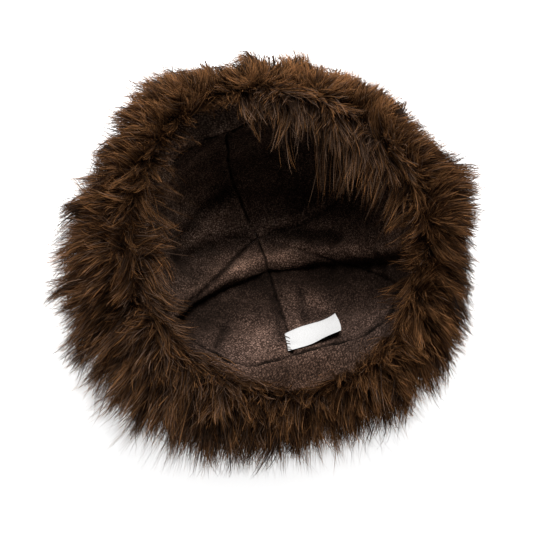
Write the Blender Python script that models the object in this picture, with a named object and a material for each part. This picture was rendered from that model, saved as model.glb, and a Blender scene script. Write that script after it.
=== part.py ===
"""A round hat of deep fur, without ear flaps, standing on its crown with its opening up.

Units are metres. +Z leaves the opening, the origin is on the floor under the middle of the
hat's box, and the slumped rim is lowest at -Y. The lining is a soft bowl that runs from the apex,
where its gores meet, up to the ring seam, and on as the brow band to the rim. Every face of
the bowl's walls is set off along rays from one point in the hollow, the focus, so the lining
and the fur behind it keep a constant gap.
"""
import math

import bpy
import numpy as np

# Lining bowl
RING_CENTRE = (0.005, 0.010)
RING_HEIGHT = 0.112
RIM_CENTRE = (0.003, 0.003)
RIM_HEIGHT = 0.136
RIM_TILT = 0.12
BAND_SPAN = 0.3
APEX = (0.0025, 0.024, 0.023)
FOCUS = (0.004, 0.010, 0.130)

# Cloth and gaps
LINING_THICKNESS = 0.0018
LABEL_THICKNESS = 0.0010
LABEL_GAP = 0.0006
GAP = 0.0004
FUR_GAP = 0.0006

# Rough lengths that turn a gap into a step along a gore, and along the profile's crown side
GORE_LENGTH = 0.145
CROWN_SIDE_LENGTH = 0.045

# Radius of the ring seam, pushed in where the front wall has slumped
RING_ROWS = (
    # azimuth_deg, radius
    (0, 0.091),
    (50, 0.086),
    (113, 0.083),
    (135, 0.0875),
    (180, 0.087),
    (215, 0.090),
    (249, 0.089),
    (277, 0.080),
    (295, 0.080),
    (313, 0.088),
    (335, 0.095),
)

# Radius of the rim, where the brow band ends under the lip of fur
RIM_ROWS = (
    # azimuth_deg, radius
    (0, 0.105),
    (60, 0.104),
    (120, 0.108),
    (150, 0.107),
    (200, 0.103),
    (270, 0.100),
    (310, 0.103),
)

# How full the bowl is between apex and ring seam: 1 is a straight cone, 2 an ellipse
BOWL_ROWS = (
    # azimuth_deg, fullness
    (0, 1.9),
    (60, 2.3),
    (120, 2.3),
    (180, 1.9),
    (230, 1.40),
    (276, 1.15),
    (320, 1.35),
)

# Seams between the gores where they reach the ring seam, and their turn at the apex
SEAM_ROWS = (
    # azimuth_deg, turn_deg
    (47, -24),
    (114, 0),
    (165, 6),
    (214, -3),
    (279, 6),
    (340, 20),
)

# The fold that lies over the front wall: its crease seen from above
CREASE_ROWS = (
    # x, y
    (-0.072, -0.056),
    (-0.052, -0.031),
    (-0.027, -0.015),
    (0.007, -0.001),
    (0.049, 0.004),
    (0.088, 0.001),
)
FOLD_HEIGHT = 0.013
FOLD_WIDTH = 0.012
FOLD_FADE = 0.20
FUR_FOLD_SHARE = 0.93

# Widest radius of the fur round the hat
SILHOUETTE_ROWS = (
    # azimuth_deg, radius
    (0, 0.143),
    (30, 0.148),
    (60, 0.146),
    (90, 0.139),
    (120, 0.145),
    (150, 0.141),
    (180, 0.144),
    (210, 0.148),
    (240, 0.148),
    (270, 0.137),
    (300, 0.141),
    (330, 0.146),
)

# How far the lip of fur hangs over the opening, inwards from the rim
LIP_ROWS = (
    # azimuth_deg, overhang
    (0, 0.013),
    (60, 0.020),
    (100, 0.014),
    (140, 0.005),
    (180, 0.014),
    (225, 0.007),
    (270, 0.002),
    (315, 0.006),
)
LIP_RISE = 0.012

# Outer profile of the fur, from the top of the lip to the floor
FUR_ROWS = (
    # out (0 at the rim, 1 at the widest), height, share of the rim's tilt
    (0.10, 0.158, 1.0),
    (0.58, 0.147, 0.9),
    (0.90, 0.120, 0.6),
    (1.00, 0.084, 0.3),
    (0.88, 0.046, 0.1),
    (0.52, 0.016, 0.0),
)
FLOOR_CENTRE = (0.0, 0.010)
FLOOR_RADIUS = 0.086

# Where the crown of fur ends and the side band begins: on the lining, and on the profile
CROWN_ROWS = 9
CROWN_PROFILE = 5.34

# Corners of the care label on the front wall
LABEL_CORNERS = (
    # azimuth_deg, place (0 at the apex, 1 at the ring seam)
    (279.6, 0.915),
    (308.0, 0.823),
    (314.5, 0.648),
    (278.9, 0.702),
)

# Facets
GORE_CELLS = 8
FIRST_PLACE = 0.03
GORE_ROWS = 18
BAND_ROWS = 3
SPAN_STEPS = 3
LABEL_CELLS = (8, 3)

# Colour, roughness
FUR_LOOK = ((0.045, 0.026, 0.016), 0.85)
LINING_LOOK = ((0.070, 0.056, 0.048), 0.95)
LABEL_LOOK = ((0.80, 0.79, 0.77), 0.45)


def round_table(rows, azimuth):
    """Value at an azimuth in radians of a table of (azimuth_deg, value) rows."""
    angles = np.radians([row[0] for row in rows])
    values = np.array([row[1] for row in rows])
    azimuth = np.mod(azimuth - angles[0], 2 * math.pi) + angles[0]
    here = np.searchsorted(angles, azimuth, side="right") - 1
    there = (here + 1) % len(rows)
    t = (azimuth - angles[here]) / np.mod(angles[there] - angles[here], 2 * math.pi)
    slope_here = (values[there] - values[here - 1]) / 2
    slope_there = (values[(there + 1) % len(rows)] - values[here]) / 2
    return (
        values[here] * (2 * t**3 - 3 * t**2 + 1)
        + slope_here * (t**3 - 2 * t**2 + t)
        + values[there] * (3 * t**2 - 2 * t**3)
        + slope_there * (t**3 - t**2)
    )


def seam_azimuth(turns, place):
    """Azimuth at a number of gores round the bowl, on lines that follow the seams."""
    turns, place = np.broadcast_arrays(np.asarray(turns, float), np.asarray(place, float))
    rows = np.array(SEAM_ROWS, float)
    rows = np.vstack((rows, (rows[0, 0] + 360, rows[0, 1])))
    lap = np.floor(turns / len(SEAM_ROWS))
    within = turns - lap * len(SEAM_ROWS)
    seams = np.arange(len(rows))
    at_ring = np.interp(within, seams, rows[:, 0]) + 360 * lap
    turned = np.interp(within, seams, rows[:, 1])
    return np.radians(at_ring + turned * np.clip(1 - place, 0, 1))


def level_ring(azimuth, rows, centre, height):
    """Points on a slumped ring whose radius is a table."""
    radius = round_table(rows, azimuth)
    x = centre[0] + radius * np.cos(azimuth)
    y = centre[1] + radius * np.sin(azimuth)
    return np.stack((x, y, height + RIM_TILT * y), axis=-1)


def bowl_point(azimuth, place):
    """Point on the bowl without its fold."""
    azimuth, place = np.broadcast_arrays(azimuth, place)
    ring = level_ring(azimuth, RING_ROWS, RING_CENTRE, RING_HEIGHT)
    rim = level_ring(azimuth, RIM_ROWS, RIM_CENTRE, RIM_HEIGHT)
    power = 2 / round_table(BOWL_ROWS, azimuth)
    turn = np.clip(place, 0, 1) * math.pi / 2
    out = np.sin(turn) ** power
    lift = 1 - np.cos(turn) ** power
    share = np.stack((out, out, lift), axis=-1)
    on_band = np.clip((place - 1) / BAND_SPAN, 0, 1)[..., None]
    return APEX + (ring - APEX) * share + (rim - ring) * on_band


def fold_rise(points, place):
    """How far the fold stands in from the bowl: it climbs at the crease and fades behind it."""
    crease = np.array(CREASE_ROWS)
    behind = points[..., 1] - np.interp(points[..., 0], crease[:, 0], crease[:, 1])
    climb = np.maximum(behind, 0) / FOLD_WIDTH
    fade = np.clip((1 - place) / FOLD_FADE, 0, 1)
    return FOLD_HEIGHT * fade * climb**2 * np.exp(2 - 2 * climb)


def wall_point(azimuth, place, back=0.0, folded=1.0):
    """Point on the lining's inner face, or that far behind it on the ray from the focus."""
    base = bowl_point(azimuth, place)
    ray = base - FOCUS
    length = np.linalg.norm(ray, axis=-1, keepdims=True)
    rise = folded * fold_rise(base, place)[..., None]
    return FOCUS + ray * (1 + (back - rise) / length)


def fur_face(azimuth, place):
    """Point on the fur's face behind the lining, which follows the fold a little less."""
    return wall_point(azimuth, place, LINING_THICKNESS + FUR_GAP, FUR_FOLD_SHARE)


def make_part(name, points, faces, look):
    """One closed solid with its own material."""
    mesh = bpy.data.meshes.new(name)
    mesh.from_pydata(points.reshape(-1, 3).tolist(), [], faces)
    mesh.shade_smooth()
    mesh.set_sharp_from_angle(angle=math.radians(40))
    material = bpy.data.materials.new(name)
    material.use_nodes = True
    shader = material.node_tree.nodes["Principled BSDF"]
    shader.inputs["Base Color"].default_value = (*look[0], 1)
    shader.inputs["Roughness"].default_value = look[1]
    mesh.materials.append(material)
    part = bpy.data.objects.new(name, mesh)
    bpy.context.collection.objects.link(part)
    return part


def triangles(a, b, c, d):
    """Two triangles of a cell, always cut along the same diagonal."""
    return [(a, b, c), (a, c, d)]


def sheet_faces(rows, columns):
    """Faces of a sheet's front and back grids, and of the edge between them."""
    def front(row, column):
        return row * columns + column

    def back(row, column):
        return rows * columns + row * columns + column

    faces = []
    for row in range(rows - 1):
        for column in range(columns - 1):
            cell = ((row, column), (row, column + 1), (row + 1, column + 1), (row + 1, column))
            faces += [face[::-1] for face in triangles(*(front(*corner) for corner in cell))]
            faces += triangles(*(back(*corner) for corner in cell))
    edge = [(0, column) for column in range(columns)]
    edge += [(row, columns - 1) for row in range(1, rows)]
    edge += [(rows - 1, column) for column in range(columns - 2, -1, -1)]
    edge += [(row, 0) for row in range(rows - 2, 0, -1)]
    for here, there in zip(edge, edge[1:] + edge[:1]):
        faces += triangles(front(*here), front(*there), back(*there), back(*here))
    return faces


def make_sheet(name, front, back, look):
    """A thin wall between two grids of points, with the front on the hollow's side."""
    faces = sheet_faces(*front.shape[:2])
    return make_part(name, np.concatenate((front, back)), faces, look)


def loop_faces(columns, rows, turned=()):
    """Faces of a closed profile of so many rows, carried round so many columns.

    The cells of the turned rows are cut along their other diagonal.
    """
    faces = []
    for column in range(columns):
        left, right = column * rows, (column + 1) % columns * rows
        for row in range(rows):
            up = (row + 1) % rows
            cell = (left + row, left + up, right + up, right + row)
            if row in turned:
                cell = cell[1:] + cell[:1]
            faces += triangles(*cell)
    return faces


def gore_places():
    """Rows of the lining between apex and ring seam."""
    return np.linspace(FIRST_PLACE, 1, GORE_ROWS)


def band_places():
    """Rows of the brow band between ring seam and rim."""
    return np.linspace(1, 1 + BAND_SPAN, BAND_ROWS)


def lining_gore(number):
    """One gore of the lining, narrowed on both sides by half a gap."""
    place = gore_places()[:, None]
    sides = [wall_point(seam_azimuth(number + side, place), place) for side in (0, 1)]
    half_gap = GAP / 2 / np.linalg.norm(sides[1] - sides[0], axis=-1)
    turns = number + np.clip(np.linspace(0, 1, GORE_CELLS + 1), half_gap, 1 - half_gap)
    azimuth = seam_azimuth(turns, place)
    front = wall_point(azimuth, place)
    back = wall_point(azimuth, place, LINING_THICKNESS)
    for face in (front, back):
        up = face[-2] - face[-1]
        face[-1] += GAP * up / np.linalg.norm(up, axis=-1, keepdims=True)
    make_sheet(f"lining_gore_{number + 1}", front, back, LINING_LOOK)


def round_turns():
    """Columns round the whole hat, in gores."""
    return np.arange(len(SEAM_ROWS) * GORE_CELLS) / GORE_CELLS


def lining_band():
    """The brow band, a ring of cloth between ring seam and rim."""
    azimuth = seam_azimuth(round_turns(), 1)[:, None]
    place = band_places()
    front = wall_point(azimuth, place)
    back = wall_point(azimuth, place, LINING_THICKNESS)
    profile = np.concatenate((front, back[:, ::-1]), axis=1)
    columns, rows = profile.shape[:2]
    faces = loop_faces(columns, rows, turned=range(BAND_ROWS, rows - 1))
    make_part("lining_band", profile, faces, LINING_LOOK)


def fur_profile(azimuth, at):
    """Points of the outer profile, where 0 is the lip's inner edge and the last row the floor."""
    rim = level_ring(azimuth, RIM_ROWS, RIM_CENTRE, RIM_HEIGHT)
    outwards = np.stack((np.cos(azimuth), np.sin(azimuth), np.zeros_like(azimuth)), axis=-1)
    lip = rim - outwards * round_table(LIP_ROWS, azimuth)[..., None] + (0, 0, LIP_RISE)
    widest = outwards * round_table(SILHOUETTE_ROWS, azimuth)[..., None]
    keys = [lip]
    for out, height, share in FUR_ROWS:
        point = rim + (widest - rim) * out
        point[..., 2] = height + share * RIM_TILT * point[..., 1]
        keys.append(point)
    keys.append(outwards * FLOOR_RADIUS + (*FLOOR_CENTRE, 0))
    keys = np.array([2 * keys[0] - keys[1]] + keys + [2 * keys[-1] - keys[-2]])
    span = np.minimum(np.floor(at).astype(int), len(keys) - 4)
    t = (at - span)[:, None, None]
    a, b, c, d = (keys[span + step] for step in range(4))
    curve = b + t / 2 * (c - a + t * (2 * a - 5 * b + 4 * c - d + t * (3 * (b - c) + d - a)))
    curve[..., 2] = np.maximum(curve[..., 2], 0)
    return curve.swapaxes(0, 1)


def fur_side_band():
    """The fur round the side: its inner face backs the lining, its lip hangs over the rim."""
    azimuth = seam_azimuth(round_turns(), 1)
    inner_places = np.concatenate((gore_places()[CROWN_ROWS:], band_places()[1:]))
    inner_azimuth = seam_azimuth(round_turns()[:, None], inner_places)
    inner = fur_face(inner_azimuth, inner_places)
    rim = wall_point(azimuth[:, None], np.array([1 + BAND_SPAN]))
    under_lip = np.concatenate((inner[:, -1:], rim), axis=1)
    under_lip[..., 2] = under_lip[..., 2].max(axis=1, keepdims=True) + GAP
    steps = np.arange(math.floor(CROWN_PROFILE * SPAN_STEPS)) / SPAN_STEPS
    edge = CROWN_PROFILE - FUR_GAP / CROWN_SIDE_LENGTH
    outer = fur_profile(azimuth, np.append(steps, edge))
    profile = np.concatenate((inner, under_lip, outer), axis=1)
    make_part("fur_side_band", profile, loop_faces(*profile.shape[:2]), FUR_LOOK)


def fur_crown():
    """The fur of the crown, hollowed by the bowl above and pressed flat on the floor."""
    azimuth = seam_azimuth(round_turns(), 1)
    places = gore_places()[: CROWN_ROWS + 1]
    places[-1] -= FUR_GAP / GORE_LENGTH
    inner_azimuth = seam_azimuth(round_turns()[:, None], places)
    inner = fur_face(inner_azimuth, places)
    last = len(FUR_ROWS) + 1
    steps = np.arange(math.ceil(CROWN_PROFILE * SPAN_STEPS), last * SPAN_STEPS + 1) / SPAN_STEPS
    outer = fur_profile(azimuth, np.insert(steps, 0, CROWN_PROFILE))
    profile = np.concatenate((inner, outer), axis=1)
    columns, rows = profile.shape[:2]
    apex = fur_face(np.array([0.0]), np.array([0.0]))
    middle = np.array([(*FLOOR_CENTRE, 0.0)])
    points = np.concatenate((profile.reshape(-1, 3), apex, middle))
    top, bottom = len(points) - 2, len(points) - 1
    faces = []
    for column in range(columns):
        left, right = column * rows, (column + 1) % columns * rows
        faces.append((top, left, right))
        faces.append((bottom, right + rows - 1, left + rows - 1))
        for row in range(rows - 1):
            cell = (left + row, left + row + 1, right + row + 1, right + row)
            if row == len(places) - 1:
                cell = cell[1:] + cell[:1]
            faces += triangles(*cell)
    make_part("fur_crown", points, faces, FUR_LOOK)


def care_label():
    """The label, a thin plate just off the lining of the front wall."""
    right_cells, down_cells = LABEL_CELLS
    corners = np.array(LABEL_CORNERS)
    right = np.linspace(0, 1, right_cells + 1)[None, :, None]
    down = np.linspace(0, 1, down_cells + 1)[:, None, None]
    top = corners[3] + (corners[2] - corners[3]) * right
    foot = corners[0] + (corners[1] - corners[0]) * right
    azimuth, place = np.moveaxis(top + (foot - top) * down, -1, 0)
    azimuth = np.radians(azimuth)
    front = wall_point(azimuth, place, -LABEL_GAP - LABEL_THICKNESS)
    back = wall_point(azimuth, place, -LABEL_GAP)
    make_sheet("care_label", front, back, LABEL_LOOK)


def build():
    """Clear the scene and model every piece."""
    for old in list(bpy.data.objects):
        bpy.data.objects.remove(old, do_unlink=True)
    for number in range(len(SEAM_ROWS)):
        lining_gore(number)
    lining_band()
    care_label()
    fur_side_band()
    fur_crown()


build()
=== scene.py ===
"""Studio picture of a round hat of deep fur, lying on its crown with its opening to the camera.

Units are metres, in the frame's axes: +Z leaves the opening and -Y is the side where the rim is
lowest. The tables of the lining, the rim and the fur's outer form are the part's, except for the
apex, the fold's height, the label's corners and the fur's outline, which are nearer the photo.
The fur is made of tapered ribbons. Each grows from a root form close behind the lining to a tip
on the outer form, and gathers with its neighbours into locks.
"""

import math

import bpy
import numpy as np
from mathutils import Matrix, Vector, kdtree


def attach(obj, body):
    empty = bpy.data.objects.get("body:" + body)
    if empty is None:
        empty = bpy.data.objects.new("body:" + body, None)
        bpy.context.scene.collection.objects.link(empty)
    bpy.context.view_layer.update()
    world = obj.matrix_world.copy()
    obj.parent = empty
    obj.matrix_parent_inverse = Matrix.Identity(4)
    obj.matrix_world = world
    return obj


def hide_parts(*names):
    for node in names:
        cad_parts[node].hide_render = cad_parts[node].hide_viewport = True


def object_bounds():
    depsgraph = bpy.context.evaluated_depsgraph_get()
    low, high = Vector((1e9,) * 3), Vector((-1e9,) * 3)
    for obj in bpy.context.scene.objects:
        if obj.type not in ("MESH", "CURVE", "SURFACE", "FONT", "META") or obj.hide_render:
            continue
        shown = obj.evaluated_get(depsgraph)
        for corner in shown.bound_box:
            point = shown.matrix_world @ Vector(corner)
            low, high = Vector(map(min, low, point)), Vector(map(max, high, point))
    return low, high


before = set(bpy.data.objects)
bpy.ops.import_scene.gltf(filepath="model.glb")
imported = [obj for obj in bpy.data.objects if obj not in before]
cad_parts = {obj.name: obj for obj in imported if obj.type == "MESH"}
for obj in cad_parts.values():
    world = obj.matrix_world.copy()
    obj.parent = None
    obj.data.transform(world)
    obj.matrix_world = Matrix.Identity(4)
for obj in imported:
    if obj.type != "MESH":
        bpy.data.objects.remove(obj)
CAD_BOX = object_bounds()
RNG = np.random.default_rng(20)

# Camera: its line of sight leans to -X and -Y of the vertical
TARGET = (0.0, 0.0, 0.085)
LEAN_X = 5.5
LEAN_Y = 10.0
DISTANCE = 1.15
FRAME_WIDTH = 0.382
TARGET_SHIFT = (0.0028, -0.0084)
SENSOR_WIDTH = 36

# Floor: its albedo, its glow for the camera where the hat hides it and in the open, its glow
# for other rays, from how near the hat hides it, and half its width
FLOOR_ALBEDO = 0.7
FLOOR_GLOW = (0.0, 1.03)
FLOOR_SPILL = 0.5
SHADOW_REACH = 0.075
FLOOR_HALF = 6.0

# Light: the world all round, and a square key light over the far side
WORLD_STRENGTH = 0.1
KEY_PLACE = (-0.12, 1.1, 1.5)
KEY_AIM = (0.0, 0.0, 0.08)
KEY_SIZE = 1.2
KEY_POWER = 66

# Lining bowl: the ring seam, the rim and the apex
RING_CENTRE = (0.005, 0.01)
RING_HEIGHT = 0.112
RIM_CENTRE = (0.003, 0.003)
RIM_HEIGHT = 0.136
RIM_TILT = 0.12
BAND_SPAN = 0.3
APEX = (0.0, 0.0295, 0.0235)
FOCUS = (0.004, 0.01, 0.13)
RING_ROWS = (
    # azimuth_deg, radius
    (0, 0.091), (50, 0.086), (113, 0.083), (135, 0.0875), (180, 0.087), (215, 0.09),
    (249, 0.089), (277, 0.08), (295, 0.08), (313, 0.088), (335, 0.095),
)
RIM_ROWS = (
    # azimuth_deg, radius
    (0, 0.105), (60, 0.104), (120, 0.108), (150, 0.107), (200, 0.103), (270, 0.1),
    (310, 0.103),
)
BOWL_ROWS = (
    # azimuth_deg, fullness
    (0, 1.9), (60, 2.3), (120, 2.3), (180, 1.9), (230, 1.4), (276, 1.15), (320, 1.35),
)
SEAM_ROWS = (
    # azimuth_deg, turn_deg, how plainly it shows
    (47, -24, 0.4), (114, 0, 1.0), (165, 6, 0.12), (214, -3, 0.6), (279, 6, 0.7),
    (340, 20, 0.4),
)
RING_SHOWS = 0.95
CREASE_ROWS = (
    # x, y
    (-0.072, -0.056), (-0.052, -0.031), (-0.027, -0.015), (0.007, -0.001), (0.049, 0.004),
    (0.088, 0.001),
)

# Fold of the lining behind its crease
FOLD_HEIGHT = 0.012
FOLD_WIDTH = 0.012
FOLD_FADE = 0.2

# How far the roll of the fold hangs forward over its crease, and how much less on the right
HANG_ROWS = (
    # climb, forward
    (0.0, 0.0), (0.2, 0.001), (0.4, 0.004), (0.6, 0.005), (0.8, 0.0046), (1.0, 0.0036),
    (1.5, 0.0016), (2.2, 0.0004), (3.0, 0.0),
)
HANGS_LESS_FROM = 0.02
HANGS_LESS_OVER = 0.03
HANG_LOSS = 0.55

# Painted light and shade, red, green and blue, by how far a place lies in front of the crease:
# highlight on the roll, shade in and under it
CREASE_SHADING_ROWS = (
    # ahead, red, green, blue
    (-0.1, 1.36, 1.46, 1.42), (-0.03, 1.26, 1.3, 1.3), (-0.012, 1.4, 1.38, 1.32),
    (-0.006, 0.95, 0.92, 0.88), (-0.002, 0.4, 0.38, 0.36), (0.0, 0.18, 0.17, 0.16),
    (0.005, 0.34, 0.33, 0.32), (0.02, 0.4, 0.39, 0.38), (0.036, 0.7, 0.7, 0.71),
    (0.056, 0.93, 0.95, 0.99), (0.08, 0.66, 0.62, 0.58), (0.12, 0.52, 0.44, 0.38),
)
# Round patches of painted light and painted shade on the lining
PAINTED_SHADING_PATCHES = (
    # x, y, reach, tone (over 1 painted light, under 1 painted shade)
    (0.072, -0.03, 0.034, 0.58), (-0.052, -0.045, 0.02, 0.6), (-0.034, -0.038, 0.017, 0.62),
    (-0.004, -0.055, 0.016, 1.35), (0.07, -0.018, 0.011, 1.45), (0.052, -0.011, 0.01, 0.65),
    (-0.062, 0.006, 0.02, 0.55), (-0.06, -0.017, 0.02, 0.5), (-0.06, 0.052, 0.032, 1.6),
    (0.025, 0.047, 0.022, 0.9), (0.052, 0.062, 0.032, 0.6), (0.002, -0.007, 0.009, 0.55),
    (0.063, -0.06, 0.018, 0.74), (0.04, -0.022, 0.016, 1.32), (-0.017, -0.031, 0.012, 0.84),
)
NAP_WAVES = (
    # strength, length, seed
    (0.22, 0.03, 6), (0.1, 0.012, 7),
)

# Soft folds of the cloth off the plain bowl, each a line through points of the bowl
WRINKLES = (
    # height, half width, tone (painted light on a ridge, painted shade in a valley), points
    (-0.0045, 0.0045, 0.38, (
        (-0.059, 0.017, 0.054), (-0.043, 0.044, 0.042), (-0.022, 0.062, 0.041))),
    (0.0028, 0.0075, 1.75, (
        (-0.052, 0.023, 0.046), (-0.033, 0.044, 0.035), (-0.017, 0.054, 0.033))),
    (0.0032, 0.0036, 1.8, ((-0.001, 0.031, 0.023), (0.021, 0.043, 0.027), (0.047, 0.052, 0.043))),
    (-0.0045, 0.005, 0.4, ((-0.06, 0.007, 0.056), (-0.033, 0.02, 0.032), (-0.008, 0.03, 0.024))),
    (-0.004, 0.005, 0.42, ((0.011, 0.034, 0.024), (0.032, 0.032, 0.028), (0.06, 0.025, 0.044))),
    (0.0036, 0.005, 2.0, ((-0.023, 0.001, 0.034), (-0.009, 0.008, 0.028), (0.005, 0.013, 0.028))),
    (0.0034, 0.0046, 1.85, ((0.016, 0.014, 0.028), (0.026, 0.02, 0.027), (0.034, 0.024, 0.029))),
    (-0.001, 0.0016, 0.5, (
        (-0.045, -0.014, 0.054), (-0.032, -0.001, 0.04),
        (-0.016, 0.015, 0.029), (-0.003, 0.027, 0.024))),
    (-0.0008, 0.0013, 0.42, (
        (0.0, 0.028, 0.024), (0.001, 0.024, 0.026), (0.003, 0.017, 0.03), (0.005, 0.008, 0.036))),
    (0.0024, 0.005, 1.35, ((0.046, 0.02, 0.037), (0.064, 0.017, 0.047), (0.082, 0.009, 0.069))),
    (0.0024, 0.005, 1.9, ((0.044, 0.038, 0.036), (0.07, 0.04, 0.058))),
    (-0.0034, 0.0026, 0.34, ((-0.035, -0.062, 0.09), (-0.026, -0.045, 0.069))),
    (-0.002, 0.003, 0.36, ((0.029, -0.016, 0.051), (0.029, -0.042, 0.077))),
    (0.0014, 0.0062, 1.6, ((0.022, -0.018, 0.055), (0.026, -0.044, 0.078))),
    (-0.0012, 0.0034, 0.45, ((0.009, -0.02, 0.052), (0.012, -0.056, 0.088))),
    (0.0016, 0.0058, 1.7, ((0.036, -0.022, 0.058), (0.044, -0.028, 0.066))),
)

# How many waves make a ripple, and the ripples of the cloth
RIPPLE_TERMS = 10
CLOTH_WAVES = (
    # stretch of the points, (height, length, seed)
    ((1, 1, 1), (0.0018, 0.038, 3)),
    ((1, 1.6, 1.6), (0.0009, 0.018, 4)),
)

# How much heights count in the distance from a line, and how near the rim and the middle of the
# label the cloth lies calm
HEIGHT_COUNTS = 0.4
CALM_AT_RIM = 0.1
CALM_AT_LABEL = 0.027

# Groove of a seam: depth and half width, and the shoulder beside it
SEAM_DEPTH = 0.002
SEAM_HALF_WIDTH = 0.0013
SHOULDER_SHARE = 0.25
SHOULDER_PLACE = 3.2 * SEAM_HALF_WIDTH
SHOULDER_HALF_WIDTH = 1.6 * SEAM_HALF_WIDTH

# Dark line of a seam: half widths, depth of tone, and how unevenly it shows
SEAM_LINE = 0.0011
RING_LINE = 0.0021
SEAM_DARK = 0.9
SEAM_WAVE = (0.35, 0.016, 8)

# Painted highlight on the turned-in edge beside a seam, painted shade where below 0: its place and
# half width, and its strength at a gore's sides and the band
EDGE_PLACE = 0.0026
EDGE_HALF_WIDTH = 0.0014
GORE_EDGES = (0.5, -0.15)
BAND_EDGE = 0.3

# Puckers beside a seam: height, length and seed, and how far they reach
PUCKER_WAVE = (0.0005, 0.0065, 9)
PUCKER_REACH = 0.006

# Points down and across a gore and a gore's share of the band, how they crowd at the seams,
# the place of a gore's first row, and how far the band reaches past the ring seam
GORE_POINTS = (131, 69)
GORE_CROWDING = (0.5, 0.78)
FIRST_PLACE = 0.012
BAND_POINTS = (34, 60)
BAND_CROWDING = 1.3
BAND_REACH = 0.34

# Care label
LABEL_CORNERS = (
    # azimuth_deg, place
    (277.1, 0.935), (307.6, 0.89), (313.6, 0.676), (278.4, 0.724),
)
LABEL_CENTRE = (0.036, -0.052, 0.087)
LABEL_LIFT = 0.002
LABEL_CURL = 0.0045
LABEL_CURL_SHARES = (0.45, 0.55)
LABEL_WAVE = 0.0005
LABEL_THICKNESS = 0.00025
LABEL_POINTS = (61, 39)

# Stitches at the label's sewn end: how many, where each starts and ends, its slant, how far it
# strays, and the tube of its thread
STITCHES = 5
STITCH_START = -0.025
STITCH_ENDS = (0.05, 0.08)
STITCH_SLANT = 2.0
STITCH_STRAY = 0.03
STITCH_POINTS = 7
STITCH_SIDES = 6
STITCH_RADIUS = 0.00028
STITCH_RISE = 0.0005

# Outer form of the fur
SILHOUETTE_ROWS = (
    # azimuth_deg, radius
    (0, 0.148), (22, 0.165), (35, 0.151), (60, 0.149), (76, 0.14), (83, 0.149),
    (90, 0.136), (97, 0.147), (104, 0.138), (112, 0.147), (122, 0.158), (140, 0.15),
    (156, 0.143), (180, 0.152), (200, 0.156), (220, 0.156), (245, 0.151), (270, 0.141),
    (300, 0.143), (322, 0.151), (340, 0.152),
)
SILHOUETTE_SHIFT = -0.005
LIP_ROWS = (
    # azimuth_deg, overhang
    (0, 0.013), (60, 0.02), (100, 0.014), (140, 0.005), (180, 0.014), (225, 0.007),
    (270, 0.002), (315, 0.006),
)
LIP_RISE = 0.012
FUR_ROWS = (
    # out (0 at the rim, 1 at the widest), height, share of the rim's tilt
    (0.1, 0.158, 1.0), (0.58, 0.147, 0.9), (0.9, 0.12, 0.6), (1.0, 0.084, 0.3),
    (0.88, 0.046, 0.1), (0.52, 0.016, 0.0),
)
FLOOR_CENTRE = (0.0, 0.01)
FLOOR_RADIUS = 0.086
FLOOR_GAP = 0.001

# Row of the tips where the crown's fur begins
CROWN_ROW = 5.34

# How far inside the rim the tufts of the lip hang, and how high over the rim
TUFT_ROWS = (
    # azimuth_deg, reach
    (0, 0.028), (15, 0.034), (30, 0.052), (42, 0.054), (55, 0.045), (70, 0.042),
    (88, 0.046), (98, 0.04), (107, 0.028), (118, 0.013), (135, 0.016), (150, 0.024),
    (175, 0.04), (200, 0.037), (225, 0.024), (250, 0.01), (275, 0.002), (300, 0.005),
    (325, 0.015), (345, 0.025),
)
TUFT_RISE = 0.008

# Root form of the fur, behind the bowl
ROOT_FORM = (
    # place on the bowl, back, up
    (1.3, 0.002, 0.0), (1.3, 0.006, 0.005), (1.3, 0.012, 0.001), (1.0, 0.01, 0.0),
    (0.75, 0.01, 0.0), (0.5, 0.01, 0.0), (0.28, 0.008, 0.0), (0.08, 0.006, 0.0),
)

# Where on the root form a tip of each row grows: 0 is the rim's inner edge, 7 the crown
TIP_ROWS = (
    # row of the tip, row of the root on the far side, on the near side
    (-1.0, 0.35, 0.1), (0.0, 0.45, 0.1), (0.4, 0.48, 0.15), (0.7, 0.52, 0.2), (1.2, 0.56, 0.35),
    (2.0, 0.7, 0.65), (3.0, 1.15, 1.4), (4.0, 2.3, 2.8), (5.0, 3.8, 4.2), (6.0, 5.0, 5.2),
    (7.0, 6.2, 6.2), (8.0, 6.9, 6.9),
)

# Far side, where the tufts hang over the opening: its azimuth in degrees, its share a quarter
# turn away, and how much more towards it
FAR_SIDE = 60
FAR_SHARE = (0.35, 1.6)

# Inner side of the fur: it fades out at this row of the tips, from so many rows before it
INNER_ROW = 0.9
INNER_FADE = 0.8

# Wandering of a root's row from its tip's, strongest at the lip, and its jitter
WANDER_WAVE = (0.45, 0.034, 33)
WANDER_WIDTH = 1.3
ROOT_JITTER = 0.15
LEAST_ROOT_ROW = 0.02

# How far round the hat the tips are combed from their roots, on the inner and outer side
COMB_ROWS = (
    # azimuth_deg, inner, outer
    (0, -0.009, -0.007), (40, -0.02, 0.0), (65, -0.012, 0.003), (90, -0.003, 0.003),
    (115, 0.002, 0.003), (145, 0.004, 0.003), (180, 0.006, 0.008), (225, 0.027, 0.013),
    (255, 0.023, 0.004), (285, 0.0, -0.004), (310, -0.014, -0.012), (335, -0.012, -0.01),
)
COMB_WAVES = (
    # distance, how much more at the lip's parting, length, seed
    (0.007, 0.006, 0.045, 31), (0.004, 0.003, 0.02, 32),
)
PARTING_WIDTH = 1.1

# How many strands grow for the area, relative to each other, and how many fewer at the far lip
DENSITY_ROWS = (
    # row of the tip, density
    (-1.0, 0.75), (-0.4, 1.5), (0.0, 1.6), (0.5, 1.8), (1.0, 1.9), (1.6, 2.0),
    (2.4, 2.3), (3.5, 2.0), (4.2, 1.1), (5.5, 0.7), (6.5, 0.35), (7.2, 0.2),
    (7.6, 0.15),
)
DENSITY_GRID = (241, 173)
LIP_LOSS = 0.15
LIP_ROW = 0.9
LIP_WIDTH = 0.6

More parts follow.
